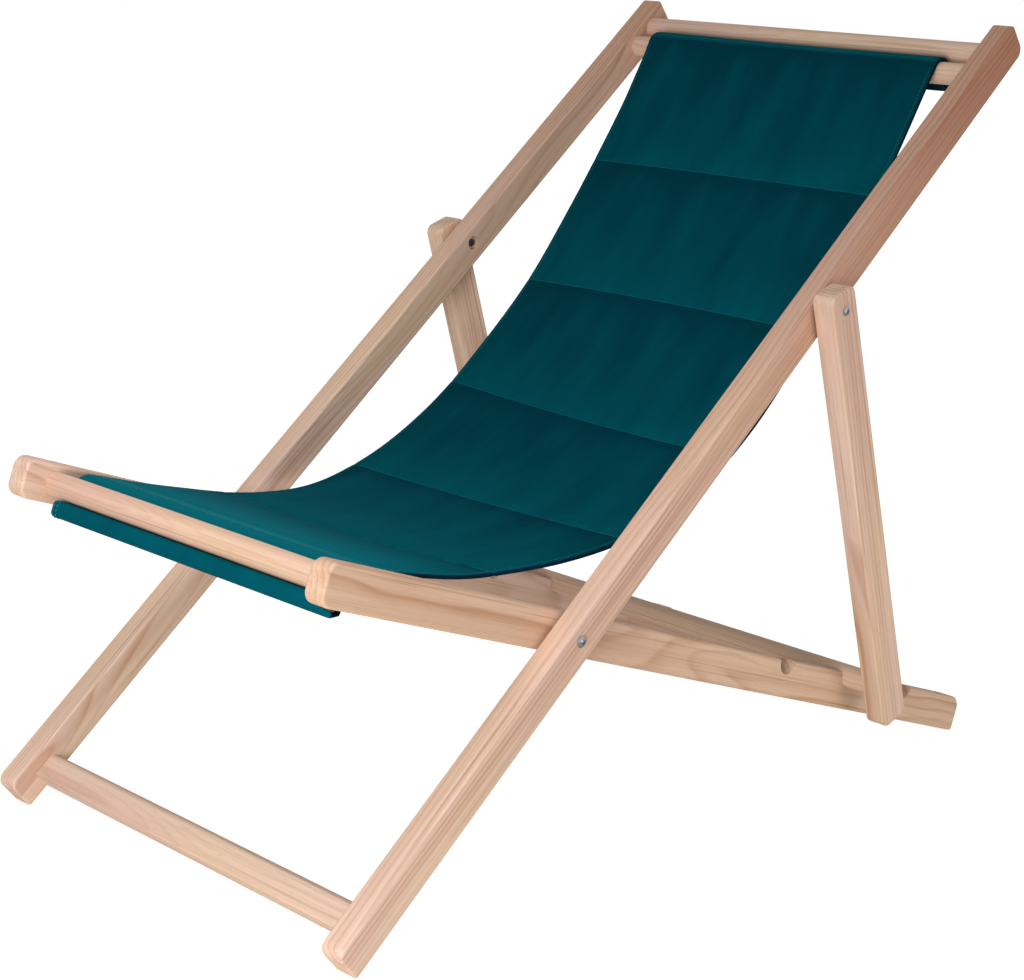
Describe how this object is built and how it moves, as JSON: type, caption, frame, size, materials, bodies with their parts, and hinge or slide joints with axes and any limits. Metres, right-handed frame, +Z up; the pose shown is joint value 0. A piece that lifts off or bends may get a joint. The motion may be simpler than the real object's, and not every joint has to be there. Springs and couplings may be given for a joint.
{
  "type": "steamer deck chair",
  "caption": "Folding wooden deck chair: crossed back and seat frames, a notched prop frame and a padded canvas sling.",
  "frame": {"origin": "on the floor, in the middle of the chair's length and width", "axes": "+Z up, the sitter faces -Y, +X towards the sitter's left hand"},
  "size_m": [0.6054, 1.0594, 0.8547],
  "materials": {
    "ash": "planed bare hardwood",
    "slat_wood": "rough sawn",
    "canvas": "padded woven canvas, matt",
    "zinc": "bright zinc plate",
    "washer": "natural nylon"
  },
  "bodies": {
    "back_frame": {"back_rail_left": "ash", "back_rail_right": "ash", "back_sling_dowel": "ash", "foot_stretcher": "ash", "prop_pivot_bolt_left": "zinc", "prop_pivot_bolt_right": "zinc", "prop_pivot_nut_left": "zinc", "prop_pivot_nut_right": "zinc", "prop_pivot_washer_left": "washer", "prop_pivot_washer_right": "washer", "seat_pivot_bolt_left": "zinc", "seat_pivot_bolt_right": "zinc", "seat_pivot_nut_left": "zinc", "seat_pivot_nut_right": "zinc", "seat_pivot_washer_left": "washer", "seat_pivot_washer_right": "washer", "sling": "canvas", "top_dowel": "ash", "top_slat": "slat_wood"},
    "seat_frame": {"front_dowel": "ash", "front_slat": "slat_wood", "rear_dowel": "ash", "seat_rail_left": "ash", "seat_rail_right": "ash", "seat_sling_dowel": "ash"},
    "prop_frame": {"prop_dowel": "ash", "prop_strut_left": "ash", "prop_strut_right": "ash"}
  },
  "joints": [
    {"name": "seat_fold", "type": "hinge", "parent": "back_frame", "child": "seat_frame", "pos_m": [0, -0.22472, 0.26433], "axis": [1, 0, 0], "range_deg": [0, 52], "deforming": ["sling"]},
    {"name": "prop_fold", "type": "hinge", "parent": "back_frame", "child": "prop_frame", "pos_m": [0, 0.12058, 0.56323], "axis": [1, 0, 0], "range_deg": [0, 114.41]}
  ],
  "couplings": [
    {"joint": "prop_fold", "follows": "seat_fold", "ratio": 2.2}
  ]
}
